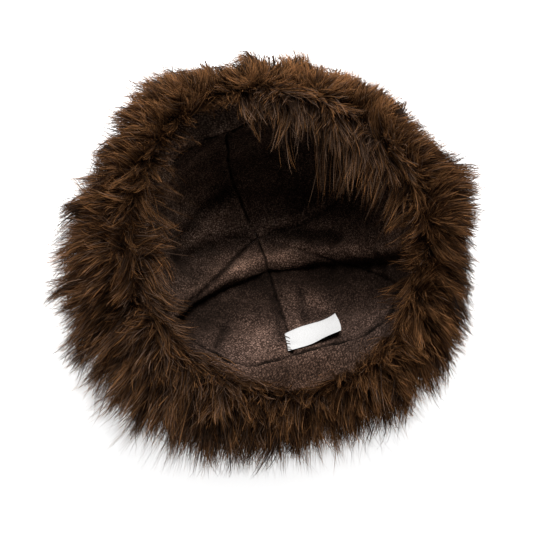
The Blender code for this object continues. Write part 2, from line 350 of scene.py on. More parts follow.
# How steeply the tips stand off the outer form: least and most, and how much more on the near side
LIFT_ROWS = (
    # row of the tip, least, most
    (-1.0, -0.1, 0.3), (-0.3, 0.0, 0.45), (0.4, 0.0, 0.6), (0.9, 0.0, 0.6), (1.6, 0.0, 0.6),
    (2.5, 0.0, 0.65), (4.0, 0.05, 0.75), (5.5, 0.1, 0.7), (6.5, 0.0, 0.3),
)
NEAR_LIFT = 0.4
LIFT_JITTER = 0.15
LIFT_LIMITS = (-0.2, 1.2)

# How far the tip of a lock strays from its place, along the outer form and off it
SHIFT_ROWS = (
    # row of the tip, distance
    (-1.0, 0.006), (0.5, 0.0045), (1.5, 0.0042), (2.5, 0.006), (4.0, 0.008), (5.5, 0.007),
)
SHIFT_LIMIT = 1.8
LOCK_OFF = 0.0038
LOCK_OFF_LIMITS = (-0.006, 0.0065)

# How far the locks and the small locks bend, how much less on the far side, how much a small
# lock gathers to its lock, and how far it strays
LOCK_BEND = 0.0042
SMALL_BEND = 0.0018
FAR_BEND_LOSS = 0.5
GATHER = (0.15, 0.6)
SMALL_STRAY = 0.0015

# Spread of the shade over its mean, by lock, small lock and strand, and what guard hairs add
MEAN_SHADE = 0.24
LOCK_SHADE = 0.12
SMALL_SHADE = 0.09
STRAND_SHADE = 0.34
GUARD_SHADE = 0.15
SHADE_LIMITS = (0.02, 0.98)

# Painted light: how much lighter the strands are than the mean, on the inner and outer side,
# lightest on the far outer fur under the key light
PAINTED_LIGHT_ROWS = (
    # azimuth_deg, inner, outer
    (0, -0.2, -0.21), (45, -0.11, 0.04), (80, -0.06, 0.5), (120, 0.0, 0.12),
    (160, -0.12, -0.1), (200, -0.12, -0.13), (240, -0.05, -0.07), (280, -0.12, -0.08),
    (320, -0.08, -0.04),
)

# How far the fur may pass the part's box, and over what depth it is drawn in there
OVER_BOX = (0.0175, 0.017, 0.014)
SOFT_EDGE = 0.006

# Colour along a strand relative to its tint: dark roots, partly painted shade deep in the fur, and
# lighter, more golden tips, partly painted glow of light passing through
TIP_SHARES = (
    # along, red, green and blue
    (0.0, (0.03, 0.03, 0.03)),
    (0.42, (0.2, 0.2, 0.2)),
    (0.62, (0.32, 0.32, 0.33)),
    (0.82, (0.85, 0.85, 0.84)),
    (1.0, (2.25, 2.05, 1.65)),
)
STRAND_TINTS = (
    # darkest and lightest tip of a golden strand, and of a grey one
    ((0.046, 0.02, 0.009), (0.44, 0.212, 0.09)),
    ((0.042, 0.023, 0.014), (0.38, 0.238, 0.168)),
)
STRAND_THROUGH = 0.5

# How many there are
STRANDS = 108000
SMALL_LOCKS = 12000
LOCKS = 2800

# Ribbon of a strand: thinnest and widest, the shares of the way where its points lie, its
# taper there, and the corners and first corners of its faces
STRAND_WIDTH = (0.00022, 0.00068)
FINE_POWER = 1.8
RIBBON_SHARES = (0.12, 0.4, 0.62, 0.82, 1.0)
RIBBON_TAPER = (1.0, 1.0, 0.85, 0.55)
LAST_SHADE = 0.985
RIBBON_CORNERS = (0, 1, 3, 2, 2, 3, 5, 4, 4, 5, 7, 6, 6, 7, 8)
RIBBON_STARTS = (0, 4, 8, 12)
SIDE_SECTORS = 5

# Curve of a strand: how far its end goes to its small lock's, how far strays and others end
# off it, how it rises from its root, bends and curls, and how its broad side turns
END_GATHER = (0.4, 0.95)
STRAY_SHARE = 0.16
STRAYS = (0.005, 0.0013)
RISE_LIMIT = 0.04
RISE_SHARES = (0.2, 0.55)
RISE_ALONG = 0.12
FALL_SHARE = 0.36
FULL_BEND_LENGTH = 0.05
BEND_LIMITS = (0.2, 1.1)
CURL = 0.0022
CURL_TURN = 5.0
FACING_JITTER = 0.6
BROAD_UP = 1.6

# Share of its curve that a strand runs, and how far the guard hairs and the short hairs differ
REACH = (0.72, 1.04)
GUARD_SHARE = 0.25
GUARD_MORE = (0.03, 0.21)
SHORT_SHARE = 0.25
SHORT_REACH = (0.6, 0.9)

# Lowest place of a strand over the floor, and how much higher it can be
STRAND_FLOOR = (0.0006, 0.002)

# Underfur: its share of the way to the outer form, its waves, points and lowest height
UNDERFUR_SHARE = 0.32
UNDERFUR_WAVE = (0.0012, 0.018, 21)
UNDERFUR_TURNS = 180
UNDERFUR_ROWS = 6
UNDERFUR_FLOOR = 0.002

# Share of greyer strands, on the inner and outer side
GREY_ROWS = (
    # azimuth_deg, inner, outer
    (0, 0.08, 0.05), (45, 0.7, 0.12), (90, 0.6, 0.1), (130, 0.15, 0.08), (175, 0.25, 0.2),
    (215, 0.4, 0.45), (245, 0.3, 0.45), (280, 0.2, 0.25), (320, 0.08, 0.1),
)


def hermite(t, here, slope_here, there, slope_there):
    """Value at a share of the way from here to there, on the cubic with those end slopes."""
    return (
        here * (2 * t**3 - 3 * t**2 + 1)
        + slope_here * (t**3 - 2 * t**2 + t)
        + there * (3 * t**2 - 2 * t**3)
        + slope_there * (t**3 - t**2)
    )


def round_table(rows, azimuth, column=1):
    """Value at an azimuth in radians of one column of a table whose rows begin azimuth_deg."""
    angles = np.radians([row[0] for row in rows])
    values = np.array([row[column] for row in rows])
    azimuth = np.mod(azimuth - angles[0], 2 * math.pi) + angles[0]
    here = np.searchsorted(angles, azimuth, side="right") - 1
    there = (here + 1) % len(rows)
    t = (azimuth - angles[here]) / np.mod(angles[there] - angles[here], 2 * math.pi)
    slope_here = (values[there] - values[here - 1]) / 2
    slope_there = (values[(there + 1) % len(rows)] - values[here]) / 2
    return hermite(t, values[here], slope_here, values[there], slope_there)


def by_side(rows, azimuth, inner):
    """Value of a table of an inner and an outer column, by how far on the inner side it is."""
    return round_table(rows, azimuth, 1) * inner + round_table(rows, azimuth, 2) * (1 - inner)


def straight_table(rows, at, column=1):
    """Value at a place of one column of a table, on straight lines between its rows."""
    rows = np.array(rows)
    return np.interp(at, rows[:, 0], rows[:, column])


def smooth_table(rows, at, column=1):
    """Value at a place of one column of a table, on a smooth curve through its rows."""
    rows = np.array(rows)
    places, values = rows[:, 0], rows[:, column]
    slopes = np.gradient(values, places)
    at = np.clip(at, places[0], places[-1])
    here = np.clip(np.searchsorted(places, at, side="right") - 1, 0, len(rows) - 2)
    span = places[here + 1] - places[here]
    t = (at - places[here]) / span
    return hermite(t, values[here], slopes[here] * span, values[here + 1], slopes[here + 1] * span)


def norm(vectors):
    """How long each vector is."""
    return np.linalg.norm(vectors, axis=-1)


def unit(vectors):
    """The vectors made one long."""
    return vectors / np.maximum(norm(vectors)[..., None], 1e-12)


def bell(distance, half_width, power=2):
    """1 at no distance, fading to 0 beyond the half width."""
    return np.exp(-((distance / half_width) ** power))


def ripple(points, length, seed):
    """A smooth uneven field from about -1 to 1, whose waves are about that long."""
    rng = np.random.default_rng(seed)
    total = 0
    for _ in range(RIPPLE_TERMS):
        direction = unit(rng.normal(size=3))
        pitch = length * rng.uniform(0.7, 1.5)
        total = total + np.sin(points @ direction * (2 * math.pi / pitch) + rng.uniform(0, 6.3))
    return total / math.sqrt(RIPPLE_TERMS)


def waves(points, *rows):
    """Sum of ripples, each a row of height, length and seed."""
    return sum(height * ripple(points, length, seed) for height, length, seed in rows)


def seam_azimuth(turns, place):
    """Azimuth at a number of gores round the bowl, on lines that follow the seams."""
    azimuth, turned, _ = np.transpose(SEAM_ROWS + ((SEAM_ROWS[0][0] + 360, *SEAM_ROWS[0][1:]),))
    seams = np.arange(len(azimuth))
    turned = np.interp(turns, seams, turned) * np.clip(1 - place, 0, 1)
    return np.radians(np.interp(turns, seams, azimuth) + turned)


def level_ring(azimuth, rows, centre, height):
    """Points on a slumped ring whose radius is a table."""
    radius = round_table(rows, azimuth)
    x = centre[0] + radius * np.cos(azimuth)
    y = centre[1] + radius * np.sin(azimuth)
    return np.stack((x, y, height + RIM_TILT * y), axis=-1)


def bowl_point(azimuth, place):
    """Point on the bowl without its fold: place 0 is the apex, 1 the ring seam, 1.3 the rim."""
    azimuth, place = np.broadcast_arrays(azimuth, place)
    ring = level_ring(azimuth, RING_ROWS, RING_CENTRE, RING_HEIGHT)
    rim = level_ring(azimuth, RIM_ROWS, RIM_CENTRE, RIM_HEIGHT)
    power = 2 / round_table(BOWL_ROWS, azimuth)
    turn = np.clip(place, 0, 1) * math.pi / 2
    out = np.sin(turn) ** power
    lift = 1 - np.cos(turn) ** power
    share = np.stack((out, out, lift), axis=-1)
    on_band = np.clip((place - 1) / BAND_SPAN, 0, None)[..., None]
    return APEX + (ring - APEX) * share + (rim - ring) * on_band


def off_line(points, line):
    """Distance of each point from a line of straight runs, with heights counting less."""
    points = points * (1, 1, HEIGHT_COUNTS)
    line = np.array(line) * (1, 1, HEIGHT_COUNTS)
    nearest_run = np.inf
    for start, end in zip(line[:-1], line[1:]):
        way = end - start
        share = np.clip((points - start) @ way / max(way @ way, 1e-12), 0, 1)[..., None]
        nearest_run = np.minimum(nearest_run, norm(points - start - share * way))
    return nearest_run


def cloth_point(azimuth, place):
    """Point on the lining with its fold, whose roll hangs over the crease, and its soft dents."""
    base = bowl_point(azimuth, place)
    ray = unit(base - FOCUS)
    behind = base[..., 1] - straight_table(CREASE_ROWS, base[..., 0])
    climb = np.maximum(behind, 0) / FOLD_WIDTH
    fade = np.clip((1 - place) / FOLD_FADE, 0, 1)
    right = np.clip((base[..., 0] - HANGS_LESS_FROM) / HANGS_LESS_OVER, 0, 1)
    rise = FOLD_HEIGHT * fade * climb**2 * np.exp(2 - 2 * climb)
    forward = fade * (1 - HANG_LOSS * right) * smooth_table(HANG_ROWS, climb)
    calm = np.clip((1 + BAND_SPAN - place) / CALM_AT_RIM, 0, 1)
    calm = calm * (1 - bell(off_line(base, (LABEL_CENTRE,) * 2), CALM_AT_LABEL, 4))
    dents = sum(waves(base * stretch, wave) for stretch, wave in CLOTH_WAVES)
    for height, half_width, _, line in WRINKLES:
        dents = dents + height * bell(off_line(base, line), half_width)
    point = base - ray * (rise + calm * dents)[..., None]
    point[..., 1] -= forward
    return point


def painted_light_tone(points, base):
    """Painted light and shade for each point from the crease, the patches and the folds, with
    random unevenness; the base lies on the plain bowl.
    """
    ahead = straight_table(CREASE_ROWS, points[..., 0]) - points[..., 1]
    painted_light_and_seam_tone = np.stack([straight_table(CREASE_SHADING_ROWS, ahead, band) for band in (1, 2, 3)], axis=-1)
    for x, y, reach, factor in PAINTED_SHADING_PATCHES:
        near = ((points[..., 0] - x) ** 2 + (points[..., 1] - y) ** 2) / reach**2
        painted_light_and_seam_tone = painted_light_and_seam_tone * factor ** np.exp(-near)[..., None]
    # Painted light on the ridges of the folds and painted shade in their valleys
    for _, half_width, factor, line in WRINKLES:
        painted_light_and_seam_tone = painted_light_and_seam_tone * factor ** bell(off_line(base, line), half_width)[..., None]
    return painted_light_and_seam_tone * np.exp(waves(points, *NAP_WAVES))[..., None]


def grid_faces(rows, columns, closed=False):
    """Quads of a grid of points, closed round its columns if asked."""
    row, left = np.indices((rows - 1, columns - (not closed)))
    right = (left + 1) % columns
    corners = ((row, left), (row, right), (row + 1, right), (row + 1, left))
    return np.stack([down * columns + aside for down, aside in corners], axis=-1).reshape(-1, 4)


def new_object(name, data):
    """An object in the scene."""
    made = bpy.data.objects.new(name, data)
    bpy.context.collection.objects.link(made)
    return made


def make_mesh(name, points, corners, material, uv=None, starts=None):
    """A shown piece on the root body, whose faces have four corners or begin at starts.

    uv is the name of a layer and its coordinates, a row for each point.
    """
    mesh = bpy.data.meshes.new(name)
    points = np.asarray(points, np.float32).reshape(-1, 3)
    corners = corners.reshape(-1)
    if starts is None:
        starts = np.arange(0, len(corners), 4)
    mesh.vertices.add(len(points))
    mesh.vertices.foreach_set("co", points.reshape(-1))
    mesh.loops.add(len(corners))
    mesh.loops.foreach_set("vertex_index", corners.astype(np.int32))
    mesh.polygons.add(len(starts))
    mesh.polygons.foreach_set("loop_start", starts.astype(np.int32))
    if uv is not None:
        layer = mesh.uv_layers.new(name=uv[0])
        layer.data.foreach_set("uv", np.asarray(uv[1], np.float32)[corners].reshape(-1))
    mesh.update(calc_edges=True)
    mesh.shade_smooth()
    mesh.materials.append(material)
    piece = new_object(name, mesh)
    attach(piece, "root")
    return piece


class Nodes:
    """Short calls for building one material. Each value is a constant or a socket to link."""

    def __init__(self, name, **sockets):
        self.material = bpy.data.materials.new(name)
        self.material.use_nodes = True
        self.tree = self.material.node_tree
        self.shader = self.tree.nodes["Principled BSDF"]
        self.feed(**sockets)

    def put(self, socket, value):
        if isinstance(value, bpy.types.NodeSocket):
            self.tree.links.new(value, socket)
        else:
            socket.default_value = value

    def feed(self, **sockets):
        for name, value in sockets.items():
            self.put(self.shader.inputs[name.replace("_", " ")], value)

    def add(self, kind, inputs=None, **settings):
        node = self.tree.nodes.new(kind)
        for key, value in settings.items():
            setattr(node, key, value)
        for socket, value in (inputs or {}).items():
            self.put(node.inputs[socket], value)
        return node

    def math(self, operation, first, *second):
        inputs = dict(enumerate((first, *second)))
        return self.add("ShaderNodeMath", inputs, operation=operation).outputs[0]

    def noise(self, scale, detail=2.0):
        """Noise on the object's own coordinates."""
        where = self.add("ShaderNodeTexCoord").outputs["Object"]
        inputs = {"Vector": where, "Scale": scale, "Detail": detail}
        return self.add("ShaderNodeTexNoise", inputs).outputs["Fac"]

    def ramp(self, factor, *stops):
        node = self.add("ShaderNodeValToRGB", {"Fac": factor})
        elements = node.color_ramp.elements
        while len(elements) < len(stops):
            elements.new(0.5)
        for element, (position, colour) in zip(elements, stops):
            element.position = position
            element.color = (*colour, 1)
        return node.outputs["Color"]

    def mix(self, factor, first, second, kind="MIX"):
        inputs = {0: factor, 6: first, 7: second}
        return self.add("ShaderNodeMix", inputs, data_type="RGBA", blend_type=kind).outputs[2]

    def bump(self, height, strength, distance, before=None):
        inputs = {"Height": height, "Strength": strength, "Distance": distance}
        if before is not None:
            inputs["Normal"] = before
        return self.add("ShaderNodeBump", inputs).outputs["Normal"]


def fur_material():
    """Strand colour from the way along it, its shade and its tint.

    V is half the shade, and half more on a grey strand than on a golden one.
    """
    nodes = Nodes(
        "fur_strands", Roughness=0.5, Specular_IOR_Level=0.06, Specular_Tint=(0.9, 0.58, 0.34, 1)
    )
    uv = nodes.add("ShaderNodeUVMap", uv_map="OFBake").outputs["UV"]
    parts = nodes.add("ShaderNodeSeparateXYZ", {"Vector": uv}).outputs
    grey = nodes.math("GREATER_THAN", parts["Y"], 0.5)
    shade = nodes.math("FRACT", nodes.math("MULTIPLY", parts["Y"], 2.0))
    tints = []
    for tips in STRAND_TINTS:
        ends = []
        for tip in tips:
            # Painted shade towards the root and painted glow towards the tip, over the fur's own
            # darker roots and lighter tips
            stops = [(at, tuple(np.multiply(tip, share))) for at, share in TIP_SHARES]
            ends.append(nodes.ramp(parts["X"], *stops))
        tints.append(nodes.mix(shade, *ends))
    colour = nodes.mix(grey, *tints)
    nodes.feed(Base_Color=colour)
    through = nodes.add("ShaderNodeBsdfTranslucent", {"Color": colour}).outputs["BSDF"]
    surfaces = {0: STRAND_THROUGH, 1: nodes.shader.outputs["BSDF"], 2: through}
    both = nodes.add("ShaderNodeMixShader", surfaces).outputs["Shader"]
    nodes.put(nodes.tree.nodes["Material Output"].inputs["Surface"], both)
    return nodes.material


def lining_material():
    """Brushed knit: fine loops on the cloth's own grid, times painted light and shade and the
    seams' dark lines from a colour attribute.
    """
    nodes = Nodes(
        "lining_knit", Roughness=0.8, Specular_IOR_Level=0.12, Specular_Tint=(0.8, 0.6, 0.48, 1)
    )
    grid = nodes.add("ShaderNodeUVMap", uv_map="cloth").outputs["UV"]
    grid = nodes.add("ShaderNodeMapping", {"Vector": grid, "Rotation": (0, 0, 0.72)}).outputs[0]
    cells = {"Vector": grid, "Scale": 720.0, "Randomness": 0.55}
    loops = nodes.add("ShaderNodeTexVoronoi", cells).outputs["Distance"]
    grain = nodes.noise(1000.0)
    cloud = nodes.noise(38.0, 5.0)
    knit = nodes.ramp(loops, (0.1, (0.235, 0.148, 0.112)), (0.6, (0.036, 0.021, 0.0155)))
    worn = nodes.ramp(grain, (0.36, (0.3, 0.29, 0.28)), (0.64, (1.35, 1.35, 1.35)))
    wear = nodes.ramp(cloud, (0.35, (0.72, 0.7, 0.69)), (0.65, (1.0, 1.0, 1.0)))
    # Painted light and shade, with the seams' dark lines, from the cloth's colour attribute
    painted_light_and_seam_tone = nodes.add("ShaderNodeAttribute", attribute_name="painted_light_and_seam_tone").outputs["Color"]
    colour = knit
    for factor in (worn, wear, painted_light_and_seam_tone):
        colour = nodes.mix(1.0, colour, factor, "MULTIPLY")
    normal = nodes.bump(loops, 0.6, -0.0012)
    normal = nodes.bump(grain, 0.6, 0.001, normal)
    nodes.feed(Base_Color=colour, Normal=normal)
    return nodes.material


def grained_material(name, noise, dark, light, bump=None, **sockets):
    """A material whose colour runs between two stops with fine noise, and may be rough with it."""
    nodes = Nodes(name, **sockets)
    grain = nodes.noise(*noise)
    nodes.feed(Base_Color=nodes.ramp(grain, dark, light))
    if bump:
        nodes.feed(Normal=nodes.bump(grain, *bump))
    return nodes.material


def seam_dip(distance):
    """How far the cloth sinks into a seam at a distance from it, and swells beside it."""
    shoulder = bell(distance - SHOULDER_PLACE, SHOULDER_HALF_WIDTH)
    return SEAM_DEPTH * (bell(distance, SEAM_HALF_WIDTH) - SHOULDER_SHARE * shoulder)


def sewn_cloth(name, points, base, seams, closed, material):
    """A cloth piece whose grid sinks, puckers and darkens at its seams.

    Each seam is its distance from every point, how plainly it shows, how much painted highlight
    lies on the turned-in edge beside it (painted shade if negative), and the half width of its
    dark line.
    """
    painted_light_and_seam_tone = painted_light_tone(points, base)
    sink = np.zeros(points.shape[:2])
    for distance, shows, edge, line in seams:
        shows = shows * np.clip(1 + waves(points, SEAM_WAVE), 0, 1.1)
        painted_light_and_seam_tone = painted_light_and_seam_tone * (1 - SEAM_DARK * shows * bell(distance, line, 4))[..., None]
        # Painted highlight along the turned-in edge beside the seam, painted shade where edge is
        # below 0
        light = edge * shows * bell(distance - EDGE_PLACE, EDGE_HALF_WIDTH)
        painted_light_and_seam_tone = painted_light_and_seam_tone * (1 + light)[..., None]
        puckers = waves(points, PUCKER_WAVE) * np.exp(-distance / PUCKER_REACH)
        sink += np.sqrt(shows) * (seam_dip(distance) + puckers)
    points = points + unit(points - FOCUS) * sink[..., None]
    along = norm(np.diff(points, axis=0)).mean(axis=1)
    across = norm(np.diff(points, axis=1))
    v = np.concatenate(([0], np.cumsum(along)))[:, None]
    u = np.concatenate((np.zeros((len(points), 1)), np.cumsum(across, axis=1)), axis=1)
    u = u - u[:, -1:] / 2
    uv = np.stack(np.broadcast_arrays(u, v), axis=-1).reshape(-1, 2)
    faces = grid_faces(*points.shape[:2], closed=closed)[:, ::-1]
    piece = make_mesh(name, points, faces, material, ("cloth", uv))
    # Painted light and shade, with the seams' dark lines, kept as a colour attribute
    colours = np.ones((painted_light_and_seam_tone.size // 3, 4), np.float32)
    colours[:, :3] = painted_light_and_seam_tone.reshape(-1, 3)
    layer = piece.data.attributes.new("painted_light_and_seam_tone", "FLOAT_COLOR", "POINT")
    layer.data.foreach_set("color", colours.reshape(-1))
    return piece


def lining_gore(number, material):
    """One gore of the lining, finely meshed, most finely at its seams."""
    rows, columns = GORE_POINTS
    down = np.linspace(0, 1, rows)
    down = down + GORE_CROWDING[0] * np.sin(math.pi * down) * down / math.pi
    place = (FIRST_PLACE + (1 - FIRST_PLACE) * down)[:, None]
    place = np.concatenate(([[0.0]], place))
    spread = np.linspace(0, 1, columns)
    spread = spread - GORE_CROWDING[1] * np.sin(2 * math.pi * spread) / (2 * math.pi)
    azimuth = seam_azimuth(number + spread, place)
    points = cloth_point(azimuth, place)
    width = norm(points[:, -1] - points[:, 0])[:, None]
    shows, next_shows = (SEAM_ROWS[(number + step) % len(SEAM_ROWS)][2] for step in (0, 1))
    seams = (
        (spread * width, shows, GORE_EDGES[0], SEAM_LINE),
        ((1 - spread) * width, next_shows, GORE_EDGES[1], SEAM_LINE),
        (norm(points - points[-1:]), RING_SHOWS, 0.0, RING_LINE),
    )
    base = bowl_point(azimuth, place)
    gore = sewn_cloth(f"lining_cloth_{number + 1}", points, base, seams, False, material)
    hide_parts(f"lining_gore_{number + 1}")


def lining_band(material):
    """The brow band from the ring seam to under the lip."""
    rows, steps = BAND_POINTS
    turns = np.arange(len(SEAM_ROWS) * steps) / steps
    azimuth = seam_azimuth(turns, 1)[None, :]
    place = 1 + BAND_REACH * (np.linspace(0, 1, rows) ** BAND_CROWDING)[:, None]
    points = cloth_point(azimuth, place)
    seams = ((norm(points - points[:1]), RING_SHOWS, BAND_EDGE, RING_LINE),)
    base = bowl_point(azimuth, place)
    band = sewn_cloth("lining_band_cloth", points, base, seams, True, material)
    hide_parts("lining_band")


def label_point(right, down):
    """Point on the label's face: right from its sewn end and down from its upper edge, 0 to 1."""
    foot, foot_right, top_right, top = np.array(LABEL_CORNERS)
    right, down = np.broadcast_arrays(right, down)
    top = top + (top_right - top) * right[..., None]
    foot = foot + (foot_right - foot) * right[..., None]
    azimuth, place = np.moveaxis(top + (foot - top) * down[..., None], -1, 0)
    base = cloth_point(np.radians(azimuth), place)
    share = LABEL_CURL_SHARES[0] + LABEL_CURL_SHARES[1] * down
    curl = LABEL_CURL * np.clip(right, 0, 1) ** 2 * share
    curl += LABEL_WAVE * np.sin(7 * right + 2 * down)
    return base - unit(base - FOCUS) * (LABEL_LIFT + curl)[..., None]


def stitch_tube(number, rng):
    """Points round the thread of one stitch, which runs over the label's sewn end."""
    down = (number + 0.5) / STITCHES + rng.uniform(-STITCH_STRAY, STITCH_STRAY)
    run = np.linspace(STITCH_START, rng.uniform(*STITCH_ENDS), STITCH_POINTS)
    line = label_point(run, down + STITCH_SLANT * run)
    up = unit(FOCUS - line)
    rise = np.sin(np.linspace(-0.3, math.pi + 0.3, STITCH_POINTS))
    line = line + up * (STITCH_RISE * rise + 0.0001)[:, None]
    way = unit(np.gradient(line, axis=0))
    side = unit(np.cross(way, up))
    turns = (np.arange(STITCH_SIDES) / STITCH_SIDES * 2 * math.pi)[:, None]
    ring = side[:, None] * np.cos(turns) + np.cross(way, side)[:, None] * np.sin(turns)
    return (line[:, None] + STITCH_RADIUS * ring).reshape(-1, 3)


def care_label():
    """The white satin label, sewn down at its left end and curling off the wall at its right."""
    satin = grained_material(
        "label_satin", (1500.0,), (0.3, (0.5, 0.495, 0.49)), (0.7, (0.62, 0.615, 0.61)),
        bump=(0.25, 0.0004), Roughness=0.38, Specular_IOR_Level=0.5,
    )
    thread = grained_material(
        "stitch_thread", (2500.0,), (0.35, (0.035, 0.022, 0.016)), (0.65, (0.085, 0.058, 0.042)),
        Roughness=0.6,
    )
    right, down = (np.linspace(0, 1, count) for count in LABEL_POINTS)
    points = label_point(right[None, :], down[:, None])
    faces = grid_faces(*points.shape[:2])[:, ::-1]
    label = make_mesh("care_label_satin", points, faces, satin)
    solid = label.modifiers.new("thickness", "SOLIDIFY")
    solid.thickness = LABEL_THICKNESS
    solid.offset = 0
    rng = np.random.default_rng(5)
    tubes = np.array([stitch_tube(number, rng) for number in range(STITCHES)])
    firsts = tubes.shape[1] * np.arange(STITCHES)[:, None, None]
    faces = grid_faces(STITCH_POINTS, STITCH_SIDES, closed=True) + firsts
    stitches = make_mesh("care_label_stitches", tubes, faces, thread)
    for piece in (label, stitches):
        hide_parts("care_label")


def along_rows(keys, at):
    """Point of each strand on the smooth curve through its own keys, straight at both ends."""
    keys = np.array([2 * keys[0] - keys[1]] + keys + [2 * keys[-1] - keys[-2]])
    span = np.clip(np.floor(at).astype(int), 0, len(keys) - 4)
    t = (at - span)[:, None]
    each = np.arange(len(at))
    a, b, c, d = (keys[span + step, each] for step in range(4))
    return b + t / 2 * (c - a + t * (2 * a - 5 * b + 4 * c - d + t * (3 * (b - c) + d - a)))


def far_share(azimuth):
    """How far a place is on the far side, where the tufts hang over the opening: 0 to 1."""
    even, gain = FAR_SHARE
    return np.clip(even + gain * np.cos(azimuth - math.radians(FAR_SIDE)), 0, 1)


def root_row_of(azimuth, row):
    """Row on the root form from which a strand with its tip at a row grows."""
    far, near = (straight_table(TIP_ROWS, row, column) for column in (1, 2))
    return near + (far - near) * far_share(azimuth)


def tip_point(azimuth, row):
    """Point on the fur's outer form: row -1 is the hanging tufts, 0 the lip, 7 on the floor."""
    rim = level_ring(azimuth, RIM_ROWS, RIM_CENTRE, RIM_HEIGHT)
    outwards = np.stack((np.cos(azimuth), np.sin(azimuth), np.zeros_like(azimuth)), axis=-1)
    keys = []
    for rows, rise in ((TUFT_ROWS, TUFT_RISE), (LIP_ROWS, LIP_RISE)):
        keys.append(rim - outwards * round_table(rows, azimuth)[:, None] + (0, 0, rise))
    widest = outwards * round_table(SILHOUETTE_ROWS, azimuth)[:, None]
    widest += (0, SILHOUETTE_SHIFT, 0)
    for out, height, share in FUR_ROWS:
        point = rim + (widest - rim) * out
        point[:, 2] = height + share * RIM_TILT * point[:, 1]
        keys.append(point)
    for radius in (FLOOR_RADIUS, FLOOR_RADIUS / 2):
        keys.append(outwards * radius + (*FLOOR_CENTRE, FLOOR_GAP))
    return along_rows(keys, row + 1)


def root_point(azimuth, row):
    """Point on the root form: row 0 is the rim's inner edge, 1 its top, 3 the ring seam."""
    keys = []
    for place, back, up in ROOT_FORM:
        base = bowl_point(azimuth, np.full_like(azimuth, place))
        keys.append(base + unit(base - FOCUS) * back + (0, 0, up))
    return along_rows(keys, row)


def outward_normal(form, azimuth, row):
    """Direction off a form, out of the fur."""
    step = 0.02
    down = form(azimuth, row + step) - form(azimuth, row - step)
    aside = form(azimuth + step, row) - form(azimuth - step, row)
    return unit(np.cross(down, aside))


def spread_tips(count):
    """Azimuths and rows of so many tips, spread over the outer form by its density."""
    azimuths = np.linspace(0, 2 * math.pi, DENSITY_GRID[0])
    rows = np.linspace(DENSITY_ROWS[0][0], DENSITY_ROWS[-1][0], DENSITY_GRID[1])
    grid = (axis.reshape(-1) for axis in np.meshgrid(azimuths, rows, indexing="ij"))
    points = tip_point(*grid).reshape(*DENSITY_GRID, 3)
    across = points[1:, :-1] - points[:-1, :-1]
    down = points[:-1, 1:] - points[:-1, :-1]
    area = norm(np.cross(across, down))
    middle = (rows[1:] + rows[:-1]) / 2
    loss = LIP_LOSS * far_share(azimuths[:-1])[:, None] * bell(middle - LIP_ROW, LIP_WIDTH)
    weight = area * straight_table(DENSITY_ROWS, middle) * (1 - loss)
    cell = RNG.choice(weight.size, size=count, p=weight.reshape(-1) / weight.sum())
    sector, band = np.divmod(cell, len(middle))
    azimuth = azimuths[sector] + RNG.uniform(size=count) * (azimuths[1] - azimuths[0])
    row = rows[band] + RNG.uniform(size=count) * (rows[1] - rows[0])
    return azimuth, row


def inside_box(points):
    """The points, with those near the sides or top of the fur's box drawn in smoothly."""
    least = np.subtract(CAD_BOX[0], (*OVER_BOX[:2], math.inf))
    most = np.add(CAD_BOX[1], OVER_BOX)
    over = np.maximum(points - (most - SOFT_EDGE), 0)
    points = points - over + SOFT_EDGE * np.tanh(over / SOFT_EDGE)
    under = np.maximum((least + SOFT_EDGE) - points, 0)
    return points + under - SOFT_EDGE * np.tanh(under / SOFT_EDGE)


def nearest(points, centres):
    """Index of the nearest centre to each point."""
    tree = kdtree.KDTree(len(centres))
    for index, centre in enumerate(centres):
        tree.insert(centre, index)
    tree.balance()
    return np.array([tree.find(point)[1] for point in points])


def small_locks(lock_azimuth, lock_row, small_tip):
    """How far each small lock's lock shifts it, and its end, bend, lift and shade."""
    lock_tip = tip_point(lock_azimuth, lock_row)
    normal = outward_normal(tip_point, lock_azimuth, lock_row)
    shift = np.clip(RNG.normal(size=(LOCKS, 3)), -SHIFT_LIMIT, SHIFT_LIMIT)
    shift *= smooth_table(SHIFT_ROWS, lock_row)[:, None]
    shift -= normal * (shift * normal).sum(axis=-1, keepdims=True)
    shift += normal * np.clip(RNG.normal(0.0, LOCK_OFF, (LOCKS, 1)), *LOCK_OFF_LIMITS)
    bend = RNG.normal(size=(LOCKS, 3)) * LOCK_BEND
    small_bend = RNG.normal(size=(SMALL_LOCKS, 3)) * SMALL_BEND
    lift = RNG.uniform(size=LOCKS)
    shade = RNG.normal(size=LOCKS)
    lock = nearest(small_tip, lock_tip)
    gather = RNG.uniform(*GATHER, SMALL_LOCKS)[:, None]
    end = small_tip + shift[lock]
    end += (lock_tip[lock] + shift[lock] - end) * gather
    end += RNG.normal(size=(SMALL_LOCKS, 3)) * SMALL_STRAY
    shade = MEAN_SHADE + LOCK_SHADE * shade[lock] + SMALL_SHADE * RNG.normal(size=SMALL_LOCKS)
    return shift[lock], end, bend[lock] + small_bend, lift[lock], shade


def root_places(azimuth, row, tip, inner):
    """Azimuth and row on the root form from which each strand grows."""
    comb = by_side(COMB_ROWS, azimuth, inner)
    parting = bell(row - 1.0, PARTING_WIDTH)
    for distance, more, length, seed in COMB_WAVES:
        comb += waves(tip, (distance + more * parting, length, seed))
    wander = waves(tip, WANDER_WAVE) * bell(row - 1.0, WANDER_WIDTH)
    root_row = root_row_of(azimuth, row + wander) + RNG.normal(0, ROOT_JITTER, STRANDS)
    return azimuth - comb / norm(tip[:, :2]), np.maximum(root_row, LEAST_ROOT_ROW)


def strand_reach():
    """Share of its curve that each strand runs, and which strands are guard hairs."""
    reach = RNG.uniform(*REACH, STRANDS)
    guard = RNG.uniform(size=STRANDS) < GUARD_SHARE
    reach[guard] += RNG.uniform(*GUARD_MORE, guard.sum())
    short = RNG.uniform(size=STRANDS) < SHORT_SHARE
    reach[short] *= RNG.uniform(*SHORT_REACH, short.sum())
    return reach, guard


